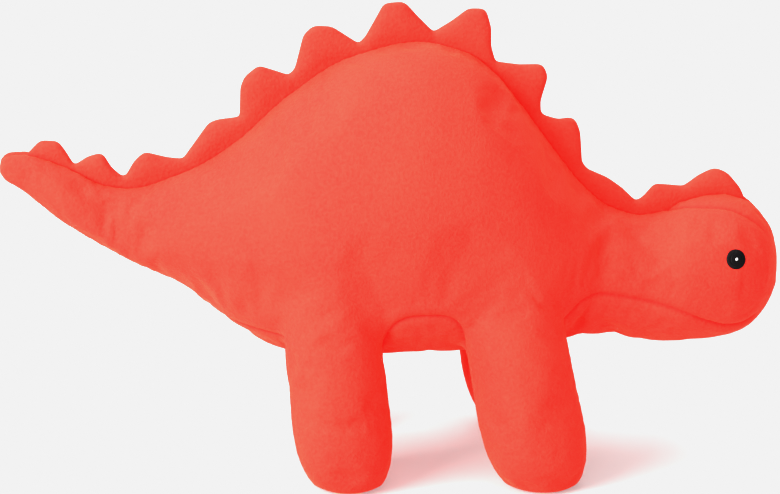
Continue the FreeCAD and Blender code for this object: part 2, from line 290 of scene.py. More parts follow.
def joined(parts):
    """Several meshes as one."""
    verts, faces, offset = [], [], 0
    for part_verts, part_faces in parts:
        verts.append(part_verts)
        faces += [tuple(i + offset for i in f) for f in part_faces]
        offset += len(part_verts)
    return np.concatenate(verts), faces


def edges_of(faces):
    """Pairs of points that share an edge."""
    pairs = [(f[i - 1], f[i]) for f in faces for i in range(len(f))]
    return np.unique(np.sort(np.array(pairs), axis=1), axis=0)


def relax(verts, edges, rounds, amount, back=0.0):
    """Moves points towards their neighbours' average; back undoes the shrinking of each round."""
    count = np.bincount(edges.ravel(), minlength=len(verts))[:, None]
    amount = np.broadcast_to(np.asarray(amount, float).reshape(-1, 1), (len(verts), 1))
    verts = verts.copy()
    for _ in range(rounds):
        for share in (1.0, -back) if back else (1.0,):
            total = np.stack([
                np.bincount(edges[:, 0], verts[edges[:, 1], k], len(verts))
                + np.bincount(edges[:, 1], verts[edges[:, 0], k], len(verts)) for k in range(3)
            ], axis=1)
            verts += share * amount * (total / count - verts)
    return verts


def vertex_normals(verts, tris):
    """Unit normals, weighted by the area of the triangles round each point."""
    a, b, c = (verts[tris[:, k]] for k in range(3))
    face = np.cross(b - a, c - a)
    total = np.stack([sum(np.bincount(tris[:, k], face[:, axis], len(verts)) for k in range(3))
                      for axis in range(3)], axis=1)
    return total / np.maximum(np.linalg.norm(total, axis=1, keepdims=True), 1e-12)


def ramp(value, low, high):
    """Smooth step from 0 at low to 1 at high."""
    t = np.clip((np.asarray(value, float) - low) / (high - low), 0, 1)
    return t * t * (3 - 2 * t)


def noise_at(points, scale, seed=0.0):
    """Smooth noise between about -1 and 1 at each point; scale is the size of its features."""
    shift = Vector((seed, 2.3 * seed, -1.7 * seed))
    return np.array([noise.noise(Vector(p) / scale + shift) for p in points])


# ---- seam functions, positive on the inner side of each seam --------------------------------
def leg_middle_y(z):
    """Where the seams down the front and back of a leg lie."""
    return np.interp(z, [0.0, 100.0], [48.5, 43.0])


def under_value(p):
    """Positive on the gussets under the toy and on the inner halves of the legs."""
    x, y, z = p[:, 0], np.abs(p[:, 1]), p[:, 2]
    below = line_value(UNDER_SEAM, x) - z
    inner = np.minimum(leg_middle_y(z) - y, below)
    arch = np.minimum(line_value(ARCH, x) - z, 2.0 * (z - ARCH_LOW_Z))
    arch = np.where((x > ARCH[0, 0]) & (x < ARCH[-1, 0]), arch, -20.0)
    return np.minimum(np.maximum(inner, arch), x - UNDER_SEAM[0, 0])


def forehead_value(p):
    """Positive on the forehead gusset."""
    width = line_value(FOREHEAD, p[:, 0]) - np.abs(p[:, 1])
    return np.minimum(width, p[:, 2] - FOREHEAD_LOW_Z)


def leg_value(p):
    """Positive on the legs, below the tilted planes where they start to bend."""
    along = np.abs(p[:, 1]) * math.sin(LEG_TILT) - p[:, 2] * math.cos(LEG_TILT)
    return along - LEG_START


def cut(verts, tris, value, locked):
    """Splits triangles along the line where value is zero, after moving close points onto it."""
    value = value.copy()
    sides = np.sort(np.concatenate([tris[:, [0, 1]], tris[:, [1, 2]], tris[:, [2, 0]]]), axis=1)
    sides = np.unique(sides, axis=0)
    for _ in range(2):
        a, b = sides[:, 0], sides[:, 1]
        crossing = value[a] * value[b] < 0
        t = np.where(crossing, value[a] / np.where(crossing, value[a] - value[b], 1), 0)
        for near, far, share in ((a, b, t), (b, a, 1 - t)):
            pick = crossing & (share < 0.3) & ~locked[near] & (value[near] * value[far] < 0)
            verts[near[pick]] += (verts[far[pick]] - verts[near[pick]]) * share[pick][:, None]
            value[near[pick]] = 0.0
    a, b = sides[:, 0], sides[:, 1]
    crossing = np.nonzero(value[a] * value[b] < 0)[0]
    t = value[a[crossing]] / (value[a[crossing]] - value[b[crossing]])
    added = verts[a[crossing]] + (verts[b[crossing]] - verts[a[crossing]]) * t[:, None]
    new_index = {(int(a[c]), int(b[c])): len(verts) + n for n, c in enumerate(crossing)}
    verts = np.concatenate([verts, added])
    value = np.concatenate([value, np.zeros(len(added))])
    signs = np.sign(value[tris])
    split = (signs.max(axis=1) > 0) & (signs.min(axis=1) < 0)
    made = []
    for tri in tris[split].tolist():
        points = []
        for i in range(3):
            p, q = tri[i], tri[(i + 1) % 3]
            points.append(p)
            middle = new_index.get((min(p, q), max(p, q)))
            if middle is not None:
                points.append(middle)
        zero = [i for i, p in enumerate(points) if value[p] == 0]
        first, second = zero[0], zero[-1]
        for chain in (points[first:second + 1], points[second:] + points[:first + 1]):
            made += [(chain[0], chain[i], chain[i + 1]) for i in range(1, len(chain) - 1)]
    tris = np.concatenate([tris[~split], np.array(made, int).reshape(-1, 3)])
    return verts, tris, value


# ---- the stuffed skin ---------------------------------------------------------------------
def sewn_shape():
    """Body and legs as one closed surface with soft hollows where they meet."""
    parts = [rings_mesh(body_rings())]
    parts += [rings_mesh(leg_rings(which, side)) for which in LEG_LINES for side in SIDES.values()]
    verts, faces = joined(parts)
    verts, faces = through_modifier("sewn", verts, faces, "REMESH", mode="VOXEL",
                                    voxel_size=VOXEL * M, use_smooth_shade=True)
    edges = edges_of(faces)
    verts = relax(verts, edges, 6, 0.6, back=0.95)
    hips = np.zeros(len(verts))
    for foot_x, lean, _ in LEG_LINES.values():      # softer round the top of each leg
        middle = foot_x + lean * verts[:, 2]
        near = 1 - ramp(np.abs(verts[:, 0] - middle), 34.0, 52.0)
        outside = ramp(np.abs(verts[:, 1]), 46.0, 56.0)
        high = ramp(verts[:, 2], 84.0 - 26.0 * outside, 100.0 - 20.0 * outside)
        hips = np.maximum(hips, near * high * (1 - ramp(verts[:, 2], 118.0, 150.0)))
    verts = relax(verts, edges, 26, 0.55 * hips)
    return verts, faces


def stuff(verts, faces, pins):
    """Presses the cloth outwards between its seams by simulation."""
    obj = make_object("stuffing", verts, faces)
    group = obj.vertex_groups.new(name="seams")
    for level in np.unique(np.round(pins, 1)):
        members = np.nonzero(np.round(pins, 1) == level)[0].tolist()
        if level > 0:
            group.add(members, float(level), "REPLACE")
    cloth = obj.modifiers.new("cloth", "CLOTH").settings
    cloth.quality = 5
    cloth.mass = 0.15
    cloth.tension_stiffness = cloth.compression_stiffness = 12.0
    cloth.shear_stiffness = 6.0
    cloth.bending_stiffness = 0.6
    cloth.use_pressure = True
    cloth.uniform_pressure_force = STUFFING_PRESSURE
    cloth.vertex_group_mass = "seams"
    cloth.shrink_min = -0.02
    cloth.effector_weights.gravity = 0.0
    for number in range(1, STUFFING_FRAMES + 1):
        scene.frame_set(number)
    moved, _ = read_mesh(obj)
    scene.frame_set(1)
    bpy.data.objects.remove(obj)
    change = moved - verts
    size = np.linalg.norm(change, axis=1, keepdims=True)
    return verts + change * np.minimum(1.0, STUFFING_CAP / np.maximum(size, 1e-9))


def seam_pins(verts):
    """1 on the seams and under the feet, falling to 0 over the cloth between them."""
    x, y, z = verts.T
    top, bottom, half, share = smooth_line(STATIONS, x).T
    upper = z > bottom + share * (top - bottom)
    on_middle = upper | (x < MIDDLE_SEAM_REAR_X) | (x > MIDDLE_SEAM_FRONT_X)
    middle = np.where(on_middle, np.abs(y), FAR_FROM_SEAM)
    seam = np.minimum(middle, np.minimum(np.abs(under_value(verts)), np.abs(forehead_value(verts))))
    feet = 1 - ramp(z, 1.0, 6.0)
    return np.maximum(1 - ramp(seam, PINNED_REACH, FREE_REACH), feet)


def stuffed_skin():
    """The stuffed skin as points and triangles, each quad split along its shorter diagonal."""
    verts, faces = sewn_shape()
    verts = stuff(verts, faces, seam_pins(verts))
    verts, faces = through_modifier("fine", verts, faces, "SUBSURF", levels=1, render_levels=1)
    quads = np.array(faces)
    short = (np.linalg.norm(verts[quads[:, 0]] - verts[quads[:, 2]], axis=1)
             < np.linalg.norm(verts[quads[:, 1]] - verts[quads[:, 3]], axis=1))[:, None]
    first = np.where(short, quads[:, [0, 1, 2]], quads[:, [0, 1, 3]])
    second = np.where(short, quads[:, [0, 2, 3]], quads[:, [1, 2, 3]])
    return verts, np.concatenate([first, second])


def cut_panels(verts, tris):
    """Cuts the skin along every seam and every place where a piece starts to bend."""
    locked = np.zeros(len(verts), bool)
    functions = [
        lambda p: p[:, 1],
        under_value,
        forehead_value,
        leg_value,
        lambda p: p[:, 0] - HEAD_START_X,
        lambda p: TAIL_START_X - p[:, 0],
    ]
    for function in functions:
        verts, tris, value = cut(verts, tris, function(verts), locked)
        locked = np.concatenate([locked, np.zeros(len(verts) - len(locked), bool)]) | (value == 0)
    return verts, tris


def label_faces(verts, tris):
    """The panel that each triangle belongs to, and the piece, which also ends where a joint bends."""
    def positive(function_values):
        return function_values[tris].sum(axis=1) > 0

    middle = verts[tris].mean(axis=1)
    left = positive(verts[:, 1])
    under = positive(under_value(verts))
    forehead = positive(forehead_value(verts))
    leg = positive(leg_value(verts)) & (middle[:, 2] < LEG_TOP_Z) & (np.abs(middle[:, 1]) > LEG_INNER_Y)
    leg &= (middle[:, 0] > LEG_REAR_X) & (middle[:, 0] < LEG_FRONT_X)
    head = positive(verts[:, 0] - HEAD_START_X)
    tail = positive(TAIL_START_X - verts[:, 0])
    hand = np.where(left, "left", "right")
    panel = np.where(forehead, np.char.add("forehead_", hand),
                     np.where(under, "under", np.char.add("side_", hand)))
    which = np.where(middle[:, 0] > FRONT_LEG_X, "front_", "rear_")
    leg_name = np.char.add(np.char.add(which, hand), np.where(under, "_leg_inner", "_leg_outer"))
    head_name = np.where(forehead, "forehead", np.where(under, "chin", np.char.add("head_", hand)))
    tail_name = np.where(under, "belly_rear", np.char.add("tail_", hand))
    torso_name = np.where(under, "belly", np.char.add("torso_", hand))
    piece = np.where(leg, leg_name, np.where(head, head_name, np.where(tail, tail_name, torso_name)))
    return panel, piece


def seam_points(verts, tris, panel):
    """Points along every sewn seam, three to an edge."""
    pairs = np.sort(np.concatenate([tris[:, [0, 1]], tris[:, [1, 2]], tris[:, [2, 0]]]), axis=1)
    owner = np.tile(np.arange(len(tris)), 3)
    order = np.lexsort((pairs[:, 1], pairs[:, 0]))
    pairs, owner = pairs[order], owner[order]
    same = (pairs[1:] == pairs[:-1]).all(axis=1)
    sewn = same & (panel[owner[1:]] != panel[owner[:-1]])
    ends = pairs[1:][sewn]
    a, b = verts[ends[:, 0]], verts[ends[:, 1]]
    return np.concatenate([a + (b - a) * t for t in (0.0, 1 / 3, 2 / 3)])


def seam_strength(p):
    """How deep a seam draws in the cloth, at points on it."""
    x, y, z = p.T
    depth = np.full(len(p), SEAM_DEPTH)
    back = (np.abs(y) < 1.0) & (z > 100)
    depth = np.where(back, np.where(x < BACK_SEAM_END_X, BACK_SEAM_DEPTH, 0.0), depth)
    chin = (x > HEAD_START_X) & (z < 102) & (np.abs(y) > 1.0)
    mouth = SEAM_DEPTH + MOUTH_EXTRA_DEPTH * ramp(x, *MOUTH_DEEPENS_X)
    depth = np.where(chin, mouth * (1 - ramp(x, *MOUTH_FADES_X)), depth)
    arch = (x > -8) & (x < 42) & (z > 72) & (z < 98)
    depth = np.where(arch, ARCH_SEAM_DEPTH, depth)
    leaf = (x > 140) & (z > FOREHEAD_LOW_Z - 1) & (np.abs(y) > 1.0)
    return np.where(leaf, FOREHEAD_SEAM_DEPTH * (1 - ramp(x, *FOREHEAD_FADES_X)), depth)


def crease(p, start, end, depth, width):
    """Depth of a soft fold along a line seen from the side, on both sides of the toy."""
    start, end = np.array(start), np.array(end)
    flat = p[:, [0, 2]]
    along = end - start
    t = np.clip(((flat - start) @ along) / (along @ along), 0, 1)
    away = np.linalg.norm(flat - start - t[:, None] * along, axis=1)
    fade = np.sin(np.pi * np.clip(0.12 + 0.76 * t, 0, 1))
    side = ramp(np.abs(p[:, 1]), 2.0, 9.0)
    return depth * fade * side * np.exp(-(away / width) ** 2)


# Soft folds seen from the side: start, end, depth and width.
CREASES = [
    ((104.0, 90.0), (106.0, 134.0), 2.3, 5.5),      # hollow where the neck leaves the body
    ((93.5, 78.0), (101.5, 94.0), 2.0, 2.2),        # fold between the neck gusset and the leg
    ((-149.0, 119.0), (-147.0, 143.0), 0.55, 1.6),  # wrinkles where the tail bends upwards
    ((-142.5, 116.0), (-141.0, 141.0), 0.65, 1.7),
    ((-135.0, 113.0), (-134.5, 139.0), 0.5, 1.6),
    ((-4.0, 66.0), (-6.5, 93.0), 1.3, 3.2),         # pinch at the inner edge of the rear leg
    ((41.0, 68.0), (40.5, 90.0), 0.9, 3.0),
]


def draw_in(verts, tris, panel):
    """Seams pull the cloth in, with small puckers across them, and soft folds form where it bends.

    Also gives painted shade for the velour's colour, from 0 to 1: darkest on a deep seam and fading within
    a couple of millimetres of it.
    """
    normals = vertex_normals(verts, tris)
    points = seam_points(verts, tris, panel)
    strength = seam_strength(points)
    tree = kdtree.KDTree(len(points))
    for i, p in enumerate(points):
        tree.insert(p, i)
    tree.balance()
    found = [tree.find(p) for p in verts]
    away = np.array([f[2] for f in found])
    nearest = np.array([f[1] for f in found])
    depth = strength[nearest]
    anchor = points[nearest]
    near = away < SEAM_REACH
    ripple = np.zeros(len(verts))
    ripple[near] = noise_at(anchor[near], 2.1, 3.0)
    push = -depth * np.exp(-(away / SEAM_WIDTH) ** 1.25)            # the hollow of the seam
    push += 0.32 * depth * np.exp(-((away - 5.0) / 3.0) ** 2)       # a swell beside it
    push += 0.30 * depth * ripple * np.exp(-away / 3.2)             # puckers
    for start, end, fold, width in CREASES:
        push -= crease(verts, start, end, fold, width)
    eye_gap = np.linalg.norm(verts[:, [0, 2]] - np.array([EYE_X, EYE_Z]), axis=1)
    push -= EYE_DENT * np.exp(-(eye_gap / EYE_DENT_RADIUS) ** 2)
    push += 0.45 * noise_at(verts, 34.0, 7.0) + 0.10 * noise_at(verts, 9.0, 1.0)    # uneven filling
    still = ramp(verts[:, 2], 0.3, 3.0)
    # painted shade for the seam grooves, stronger where a seam is deeper
    shade = np.exp(-(away / 1.1) ** 2) * np.clip(depth / 1.6, 0, 1)
    return verts + normals * (push * still)[:, None], shade


# ---- materials ----------------------------------------------------------------------------
class Nodes:
    """A short way to build a node material."""

    def __init__(self, name):
        self.material = bpy.data.materials.new(name)
        self.material.use_nodes = True
        self.tree = self.material.node_tree
        self.shader = self.tree.nodes["Principled BSDF"]
        self.place = self.add("ShaderNodeTexCoord").outputs["Object"]

    def add(self, kind, inputs=None, **settings):
        node = self.tree.nodes.new(kind)
        for key, value in settings.items():
            setattr(node, key, value)
        for key, value in (inputs or {}).items():
            if isinstance(value, bpy.types.NodeSocket):
                self.tree.links.new(value, node.inputs[key])
            else:
                node.inputs[key].default_value = value
        return node

    def noise(self, scale, detail, roughness):
        return self.add("ShaderNodeTexNoise", {"Vector": self.place, "Scale": scale,
                                               "Detail": detail, "Roughness": roughness}).outputs["Fac"]

    def between(self, value, low, high):
        """The value spread from 0 at low to 1 at high."""
        inputs = {"Value": value, "From Min": low, "From Max": high}
        return self.add("ShaderNodeMapRange", inputs).outputs[0]

    def mix(self, share, first, second):
        node = self.add("ShaderNodeMix", data_type="RGBA")
        for socket, value in ((node.inputs[0], share), (node.inputs[6], first), (node.inputs[7], second)):
            if isinstance(value, bpy.types.NodeSocket):
                self.tree.links.new(value, socket)
            else:
                socket.default_value = value
        return node.outputs[2]

    def math(self, operation, first, second):
        return self.add("ShaderNodeMath", {0: first, 1: second}, operation=operation).outputs[0]

    def bump(self, height, strength, distance, normal=None):
        inputs = {"Height": height, "Strength": strength, "Distance": distance}
        if normal is not None:
            inputs["Normal"] = normal
        return self.add("ShaderNodeBump", inputs).outputs["Normal"]

    def finish(self, **values):
        """Sets or links the shader's sockets and gives the material."""
        for key, value in values.items():
            socket = self.shader.inputs[key.replace("_", " ")]
            if isinstance(value, bpy.types.NodeSocket):
                self.tree.links.new(value, socket)
            else:
                socket.default_value = value
        return self.material


def velour():
    """Short brushed pile: patches of nap, fine fibre tips, a soft sheen, and painted shade that darkens the
    seam grooves.
    """
    n = Nodes("coral_velour")
    nap = n.between(n.noise(26.0, 3.0, 0.55), 0.35, 0.65)
    tips = n.between(n.noise(620.0, 3.0, 0.6), 0.3, 0.7)
    fine = n.noise(2100.0, 2.0, 0.6)
    seam = n.add("ShaderNodeAttribute", attribute_name="seam").outputs["Fac"]
    deep = n.mix(nap, (0.86, 0.042, 0.030, 1), (0.92, 0.053, 0.037, 1))
    colour = n.mix(n.math("MULTIPLY", tips, 0.40), deep, (0.98, 0.084, 0.057, 1))
    # painted shade: the seam attribute darkens the colour towards a deep red in the grooves of the seams
    colour = n.mix(n.math("MULTIPLY", seam, 0.62), colour, (0.60, 0.012, 0.014, 1))
    rough = n.add("ShaderNodeMapRange", {"Value": nap, "To Min": 0.78, "To Max": 0.9}).outputs[0]
    normal = n.bump(fine, 0.40, 0.0004)
    normal = n.bump(tips, 0.34, 0.0007, normal)
    normal = n.bump(nap, 0.12, 0.0014, normal)
    return n.finish(Base_Color=colour, Roughness=rough, Normal=normal, Sheen_Weight=0.35,
                    Sheen_Roughness=0.42, Sheen_Tint=(1.0, 0.30, 0.16, 1), Specular_IOR_Level=0.18)


def eye_thread():
    """Glossy black rayon thread."""
    n = Nodes("black_eye_thread")
    tone = n.noise(900.0, 2.0, 0.6)
    colour = n.mix(tone, (0.004, 0.0035, 0.004, 1), (0.012, 0.010, 0.011, 1))
    rough = n.add("ShaderNodeMapRange", {"Value": tone, "To Min": 0.42, "To Max": 0.6}).outputs[0]
    return n.finish(Base_Color=colour, Roughness=rough, Normal=n.bump(tone, 0.2, 0.0002),
                    Specular_IOR_Level=0.16)


def highlight_thread():
    """White thread of the eye's highlight."""
    n = Nodes("white_highlight_thread")
    tone = n.noise(1400.0, 2.0, 0.6)
    colour = n.mix(tone, (0.84, 0.83, 0.82, 1), (0.95, 0.95, 0.94, 1))
    return n.finish(Base_Color=colour, Roughness=0.42, Normal=n.bump(tone, 0.3, 0.0002))


def label_satin():
    """White satin ribbon with a fine ribbed weave."""
    n = Nodes("white_label_satin")
    weave = n.add("ShaderNodeTexWave", {"Vector": n.place, "Scale": 700.0, "Distortion": 0.4},
                  bands_direction="Z").outputs["Fac"]
    tone = n.noise(60.0, 2.0, 0.5)
    colour = n.mix(tone, (0.80, 0.79, 0.77, 1), (0.90, 0.89, 0.88, 1))
    rough = n.add("ShaderNodeMapRange", {"Value": weave, "To Min": 0.38, "To Max": 0.52}).outputs[0]
    return n.finish(Base_Color=colour, Roughness=rough, Normal=n.bump(weave, 0.25, 0.0001),
                    Sheen_Weight=0.2)


def floor_material():
    """A matt white studio table, lit a little from below so that shadows on it stay pale."""
    n = Nodes("pale_floor")
    return n.finish(Base_Color=(0.48, 0.48, 0.48, 1), Roughness=0.8, Specular_IOR_Level=0.1,
                    Emission_Color=(1, 1, 1, 1), Emission_Strength=0.24)


# ---- pieces from the skin -----------------------------------------------------------------
PIECE_NODES = {
    "belly": ["belly_gusset"],
    "belly_rear": ["belly_gusset"],
    "chin": ["chin_gusset"],
    "forehead": ["forehead_gusset"],
}
for body in ("torso", "tail", "head"):
    PIECE_NODES[body + "_right"] = [body + "_right_panel", body + "_fill"]
    PIECE_NODES[body + "_left"] = [body + "_left_panel"]


def attach(obj, name):
    """Rides a torso piece on the torso's body; the other pieces get their transform baked into the mesh."""
    if "_leg" in name:
        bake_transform(obj)
    elif name.startswith(("head", "chin", "forehead")):
        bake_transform(obj)
    elif name.startswith("tail") or name == "belly_rear":
        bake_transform(obj)
    else:
        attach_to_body(obj, "torso")


def shaded_mesh(name, verts, tris, normals, material, seam):
    """A mesh of some triangles of a larger surface, shaded as part of it."""
    used, local = np.unique(tris, return_inverse=True)
    obj = make_object(name, verts[used], local.reshape(-1, 3))
    mesh = obj.data
    # the seam attribute holds painted shade that darkens the colour in the seam grooves
    near = mesh.attributes.new("seam", "FLOAT", "POINT")
    near.data.foreach_set("value", seam[used].astype(np.float32))
    mesh.polygons.foreach_set("use_smooth", [True] * len(mesh.polygons))
    mesh.normals_split_custom_set_from_vertices(normals[used].tolist())
    mesh.materials.append(material)
    return obj


def skin_piece(name, verts, tris, normals, material, seam):
    """One panel of the body."""
    obj = shaded_mesh(name + "_skin", verts, tris, normals, material, seam)
    nodes = PIECE_NODES.get(name)
    if nodes is None:
        leg, layer = name.rsplit("_", 1)
        nodes = [leg + "_" + layer + "_panel"] + ([leg + "_fill"] if layer == "outer" else [])
    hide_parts(*nodes)
    attach(obj, name)


# ---- crest --------------------------------------------------------------------------------
def rounded_corners(corners, spacing=1.1):
    """Points along straight runs joined by arcs."""
    points = [np.array(corners[0][:2])]
    for i in range(1, len(corners) - 1):
        here = np.array(corners[i][:2])
        before = np.array(corners[i - 1][:2]) - here
        after = np.array(corners[i + 1][:2]) - here
        room = 0.48 * min(np.linalg.norm(before), np.linalg.norm(after))
        before /= np.linalg.norm(before)
        after /= np.linalg.norm(after)
        half_angle = math.acos(max(-1.0, min(1.0, before @ after))) / 2
        reach = min(room, corners[i][2] / max(math.tan(half_angle), 1e-3))
        start, end = here + before * reach, here + after * reach
        for t in np.linspace(0, 1, CREST_ARC_STEPS):
            points.append((1 - t) ** 2 * start + 2 * t * (1 - t) * here + t * t * end)
    points.append(np.array(corners[-1][:2]))
    points = np.array(points)
    run = np.concatenate([[0], np.cumsum(np.linalg.norm(np.diff(points, axis=0), axis=1))])
    at = np.linspace(0, run[-1], int(run[-1] / spacing))
    line = np.stack([np.interp(at, run, points[:, k]) for k in range(2)], axis=1)
    for _ in range(2):
        line[1:-1] = 0.25 * line[:-2] + 0.5 * line[1:-1] + 0.25 * line[2:]
    return line


def distance_to_line(points, line):
    """Distance of each point from a chain of straight runs."""
    best = np.full(len(points), 1e9)
    for start, end in zip(line[:-1], line[1:]):
        along = end - start
        t = np.clip(((points - start) @ along) / max(along @ along, 1e-12), 0, 1)
        best = np.minimum(best, np.linalg.norm(points - start - t[:, None] * along, axis=1))
    return best


def back_line(x):
    """Height of the middle of the back."""
    return smooth_line(STATIONS, x)[:, 0]


def inside_line(points, ring):
    """True for points inside a closed outline."""
    inside = np.zeros(len(points), bool)
    x, z = points.T
    for (x0, z0), (x1, z1) in zip(ring, np.roll(ring, -1, axis=0)):
        crosses = (z0 > z) != (z1 > z)
        if z0 != z1:
            inside ^= crosses & (x < (x1 - x0) * (z - z0) / (z1 - z0) + x0)
    return inside


def crest_sheet():
    """The crest as a flat sheet of triangles.

    Also gives each point's distance from the free edge and its height over the back.
    """
    free = rounded_corners(CREST)
    base_x = np.linspace(free[-1, 0], free[0, 0], 330)
    base = np.stack([base_x, back_line(base_x) - CREST_SINK], axis=1)
    ring = np.concatenate([free, base])
    ring_count = len(ring)
    normal = np.roll(ring, -1, axis=0) - np.roll(ring, 1, axis=0)
    normal = np.stack([normal[:, 1], -normal[:, 0]], axis=1)
    normal /= np.linalg.norm(normal, axis=1, keepdims=True)
    columns = np.arange(-190, 186, CREST_GRID)
    rows = np.arange(130, 250, CREST_GRID * 0.87)
    half_cell = 0.5 * CREST_GRID
    grid = np.array([(x + (half_cell if k % 2 else 0.0), z) for k, z in enumerate(rows) for x in columns])
    keep = (grid[:, 1] > back_line(grid[:, 0]) - CREST_SINK + 0.8) & inside_line(grid, ring)
    grid = grid[keep]
    grid = grid[distance_to_line(grid, free) > 3.0]
    groups = [ring]
    for inset in CREST_INSETS:
        points = ring[:len(free)] + normal[:len(free)] * inset
        fits = inside_line(points, ring) & (distance_to_line(points, free) > 0.9 * inset)
        fits &= points[:, 1] > back_line(points[:, 0]) - CREST_SINK + 0.5
        groups.append(points[fits])
    flat = np.concatenate(groups + [grid])
    sides = [(i, (i + 1) % ring_count) for i in range(ring_count)]
    out = geometry.delaunay_2d_cdt([Vector(p) for p in flat], sides, [list(range(ring_count))], 1, 1e-4)
    flat = np.array([tuple(p) for p in out[0]])
    tris = np.array([f for f in out[2] if len(f) == 3])
    return flat, tris, distance_to_line(flat, free), distance_to_line(flat, base) - CREST_SINK


def crest_surface():
    """Right and left layers of the crest, stuffed thinly and joined along the free edge."""
    flat, tris, edge, height = crest_sheet()
    close = np.clip(edge / CREST_RIM, 0, 1)
    half = CREST_HALF * np.sqrt(np.clip(1 - (1 - close) ** 2, 0, 1))
    half *= 0.62 + 0.38 * ramp(height, -1.0, 7.0)
    for start, end, depth in CREST_VALLEYS:
        line = np.array([start, end])
        half *= 1 - depth * np.exp(-(distance_to_line(flat, line) / 1.5) ** 2)
    flat3 = np.stack([flat[:, 0], np.zeros(len(flat)), flat[:, 1]], axis=1)
    half += 0.16 * np.exp(-((edge - 2.1) / 0.7) ** 2) * ramp(height, 1.0, 6.0)  # turned-in edge
    half *= 1 + 0.10 * noise_at(flat3, 9.0, 4.0) * ramp(edge, 1.5, 5.0)
    around = edges_of(tris)
    free_to_move = ramp(edge, 0.4, 2.5)
    half = relax(np.stack([half, half, half], axis=1), around, 4, 0.5 * free_to_move)[:, 0]
    sway = 1.5 * noise_at(flat3, 26.0, 9.0) * ramp(height, 0.0, 14.0)
    verts = np.concatenate([np.stack([flat[:, 0], sway + side * half, flat[:, 1]], axis=1)
                            for side in SIDES.values()])
    facing = np.cross(flat[tris[:, 1]] - flat[tris[:, 0]], flat[tris[:, 2]] - flat[tris[:, 0]])
    toward_right = np.where(facing[:, None] > 0, tris, tris[:, ::-1])
    both = np.concatenate([toward_right, toward_right[:, ::-1] + len(flat)])
    shared = np.nonzero(edge < 1e-3)[0]
    joined_index = np.arange(len(verts))
    joined_index[shared + len(flat)] = shared
    return verts, joined_index[both]


CREST_ZONES = {
    "tail": (-1e3, TAIL_START_X), "back": (TAIL_START_X, HEAD_START_X), "head": (HEAD_START_X, 1e3),
}
CREST_JOINS = {
    "tail": ("tail", TAIL_START_X, TAIL_END_X),
    "head": ("head", HEAD_START_X, HEAD_END_X),
}


def make_crest(material):
    """The crest's two layers, each in three pieces that end where the toy starts to bend."""
    verts, tris = crest_surface()
    locked = np.zeros(len(verts), bool)
    right = (tris < len(verts) // 2).sum(axis=1) >= 2
    pieces = []
    for hand, part in (("right", tris[right]), ("left", tris[~right])):
        for x in (TAIL_START_X, HEAD_START_X):
            verts, part, _ = cut(verts, part, verts[:, 0] - x, locked)
            locked = np.concatenate([locked, np.ones(len(verts) - len(locked), bool)])
        pieces.append((hand, part))
    normals = vertex_normals(verts, np.concatenate([part for _, part in pieces]))
    # painted shade: darkens the crest's colour along its foot, in the crease where it meets the back
    base = 0.6 * (1 - ramp(verts[:, 2] - back_line(verts[:, 0]), -0.5, 1.6))
    for hand, part in pieces:
        middle = verts[part].mean(axis=1)[:, 0]
        for zone, (low, high) in CREST_ZONES.items():
            chosen = part[(middle > low) & (middle < high)]
            obj = shaded_mesh(f"{zone}_crest_{hand}_layer_skin", verts, chosen, normals, material, base)
            nodes = [f"{zone}_crest_{hand}_layer"] + ([f"{zone}_crest_fill"] if hand == "right" else [])
            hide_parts(*nodes)
            if zone in CREST_JOINS:
                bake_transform(obj)
            else:
                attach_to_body(obj, "torso")


# ---- eyes and label -----------------------------------------------------------------------
LABEL_X, LABEL_Y, LABEL_TOP = -77.0, 29.5, 85.0
LABEL_WIDTH, LABEL_DROP = 12.0, 21.0
LABEL_ROWS = 26
LABEL_FOLD, LABEL_GAP = 0.9, 0.405          # height of the fold and half the gap between the layers
HIGHLIGHT_STITCHES = ((-0.42, 0.62), (0.0, 0.95), (0.42, 0.72))     # place across the eye, half length
STITCH_RADIUS = 0.30


def onto_skin(tree, centre, out, flat, heights):
    """Lays flat points on the skin round centre and lifts each one by its own height."""
    out = out.normalized()
    across = Vector((0, 0, 1)).cross(out).normalized()
    up = out.cross(across)
    placed = []
    for (u, v), height in zip(flat, heights):
        start = centre + across * u + up * v + out * 12.0
        hit = tree.ray_cast(start, -out)
        placed.append(hit[0] + out * height)
    return np.array([tuple(p) for p in placed])


def disc_grid(radius, rings, spokes):
    """Flat points of a disc, ring by ring from the centre, with their radius and angle, and its faces."""
    points, faces = [(0.0, 0.0, 0.0, 0.0)], []
    for r in range(1, rings + 1):
        for s in range(spokes):
            angle = 2 * math.pi * s / spokes
            reach = radius * (r / rings) ** 0.85
            points.append((reach * math.cos(angle), reach * math.sin(angle), reach / radius, angle))
    for s in range(spokes):
        t = (s + 1) % spokes
        faces.append((0, 1 + s, 1 + t))
        for r in range(rings - 1):
            a, b = 1 + r * spokes, 1 + (r + 1) * spokes
            faces.append((a + s, b + s, b + t, a + t))
    return np.array(points), faces


